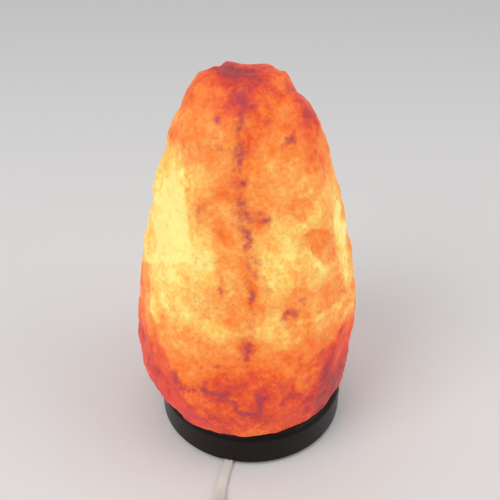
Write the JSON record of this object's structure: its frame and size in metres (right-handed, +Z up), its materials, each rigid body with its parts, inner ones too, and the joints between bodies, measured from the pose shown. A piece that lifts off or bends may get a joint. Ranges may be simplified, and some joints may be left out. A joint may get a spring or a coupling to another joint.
{
  "type": "salt crystal lamp",
  "caption": "Table lamp made of a rough rock salt crystal on a round dark wooden base, lit from inside, with a flat twin lead, in-line dimmer and plug.",
  "frame": {"origin": "on the table under the middle of the crystal's box; the lamp's bore, base and bulb stand 4.2 mm to the right of it", "axes": "+Z up, -Y the front, where the lead leaves the base, +X to the right seen from the front"},
  "size_m": [0.1432, 0.3552, 0.238],
  "materials": {
    "salt": "matte",
    "dark_wood": "satin",
    "zinc_steel": "satin",
    "spring_steel": "satin",
    "nylon": "matte",
    "rubber_black": "matte",
    "holder_resin": "satin",
    "brass_parts": "satin",
    "plated_shell": "satin",
    "cord_white": "satin",
    "core_insulation": "satin",
    "strap_black": "matte",
    "knob_black": "satin",
    "bulb_clear_glass": "gloss",
    "bulb_seal": "gloss",
    "filament_wire": "satin",
    "board_green": "satin",
    "component_dark": "matte",
    "component_yellow": "satin",
    "shaft_metal": "satin"
  },
  "bodies": {
    "cord_set": {"mounting_plate": "zinc_steel", "socket_screws": "zinc_steel", "clip_rivets": "zinc_steel", "dimmer_screws": "zinc_steel", "socket_base": "holder_resin", "socket_sleeve": "holder_resin", "centre_contact": "brass_parts", "contact_rivets": "brass_parts", "plug_blade_line": "brass_parts", "plug_blade_neutral": "brass_parts", "socket_shell": "plated_shell", "cord_in_base": "cord_white", "cord_lead": "cord_white", "cord_feed": "cord_white", "cord_coil": "cord_white", "cord_tail": "cord_white", "plug_body": "cord_white", "dimmer_boots": "cord_white", "dimmer_lower_shell": "cord_white", "dimmer_upper_shell": "cord_white", "cord_grommet": "cord_white", "cord_cores": "core_insulation", "dimmer_wires": "core_insulation", "cord_tie": "strap_black", "dimmer_board": "board_green", "dimmer_terminals": "board_green", "dimmer_triac": "component_dark", "dimmer_pot": "component_dark", "dimmer_capacitor": "component_yellow"},
    "stone": {"salt_crystal": "salt", "wooden_base": "dark_wood", "base_screws": "zinc_steel", "screw_anchors": "nylon", "rubber_feet": "rubber_black"},
    "bulb": {"bulb_glass": "bulb_clear_glass", "bulb_screw_cap": "plated_shell", "bulb_insulator": "bulb_seal", "bulb_contact": "plated_shell", "bulb_stem": "bulb_clear_glass", "bulb_wires": "filament_wire", "bulb_filament": "filament_wire"},
    "dimmer_dial": {"dimmer_knob": "knob_black", "dimmer_shaft": "shaft_metal"},
    "clip_right": {"spring_clip_right": "spring_steel"},
    "clip_left": {"spring_clip_left": "spring_steel"}
  },
  "joints": [
    {"name": "stone_lift", "type": "slide", "parent": "cord_set", "child": "stone", "axis": [0, 0, 1], "range_m": [0, 0.12]},
    {"name": "bulb_turn", "type": "hinge", "parent": "cord_set", "child": "bulb", "pos_m": [0.0042, 0, 0.0289], "axis": [0, 0, 1], "range_deg": [0, 1800]},
    {"name": "dimmer_turn", "type": "hinge", "parent": "cord_set", "child": "dimmer_dial", "pos_m": [-0.0158, -0.156, 0.0183], "axis": [0, 0, 1], "range_deg": [0, 300]},
    {"name": "clip_right_press", "type": "hinge", "parent": "cord_set", "child": "clip_right", "pos_m": [0.0212, 0, 0.0092], "axis": [0, -1, 0], "range_deg": [0, 4], "stiffness_Nm_per_rad": 0.8, "springref_deg": -2.86},
    {"name": "clip_left_press", "type": "hinge", "parent": "cord_set", "child": "clip_left", "pos_m": [-0.0128, 0, 0.0092], "axis": [0, 1, 0], "range_deg": [0, 4], "stiffness_Nm_per_rad": 0.8, "springref_deg": -2.86}
  ]
}
